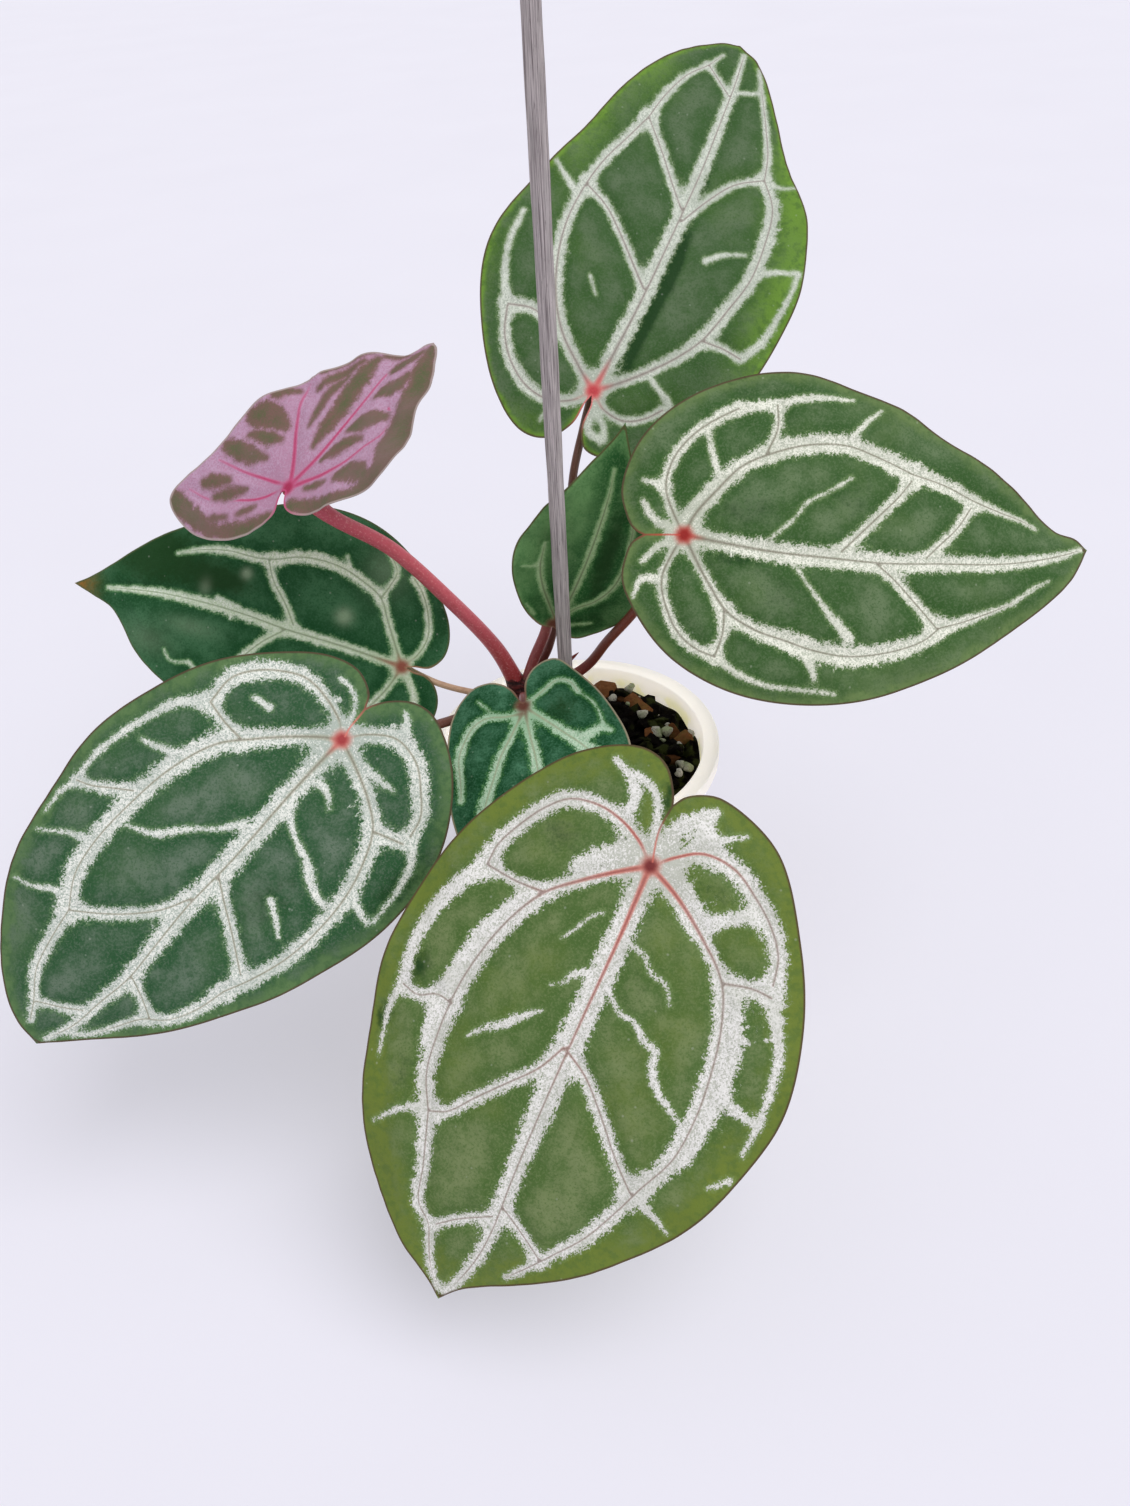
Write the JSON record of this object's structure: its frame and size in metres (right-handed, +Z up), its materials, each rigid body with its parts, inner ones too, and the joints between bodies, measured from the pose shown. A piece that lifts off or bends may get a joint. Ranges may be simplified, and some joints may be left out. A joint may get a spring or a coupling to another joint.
{
  "type": "potted anthurium",
  "caption": "Young velvet-leaved anthurium with silver-veined heart-shaped leaves and a wooden stake, in a small milky plastic nursery pot of bark mix.",
  "frame": {"origin": "centre of the flat underside of the pot, on the surface it stands on", "axes": "+Z up along the pot's axis; the fullest leaf hangs towards -Y, the long leaf to the right points along +X"},
  "size_m": [0.3291, 0.2972, 0.3182],
  "materials": {
    "pot": "milky, slightly translucent, satin",
    "bark_mix": "dark damp bark chips with some perlite",
    "stake_wood": "weathered grey, rough, fine grain lengthwise",
    "crown": "dark maroon, waxy",
    "petiole_red": "rosy red, waxy, pale flecks",
    "petiole_brown": "red-brown to olive, waxy",
    "leaf_olive": "velvet green with yellow-olive margin and silver net",
    "leaf_green": "velvet green with silver net",
    "leaf_deep": "dark velvet green with pale net",
    "leaf_pink": "young mauve-pink leaf with olive-brown fields"
  },
  "bodies": {
    "root": {"pot": "pot", "soil": "bark_mix", "stake": "stake_wood", "crown": "crown", "petiole_front": "petiole_red", "blade_front": "leaf_olive", "petiole_left": "petiole_brown", "blade_left": "leaf_green", "petiole_right": "petiole_brown", "blade_right": "leaf_green", "petiole_back": "petiole_brown", "blade_back": "leaf_green", "petiole_lower_left": "petiole_brown", "blade_lower_left": "leaf_deep", "petiole_young": "petiole_red", "blade_young": "leaf_pink", "petiole_small_back": "petiole_red", "blade_small_back": "leaf_deep", "petiole_small_front": "petiole_red", "blade_small_front": "leaf_deep"}
  },
  "joints": []
}
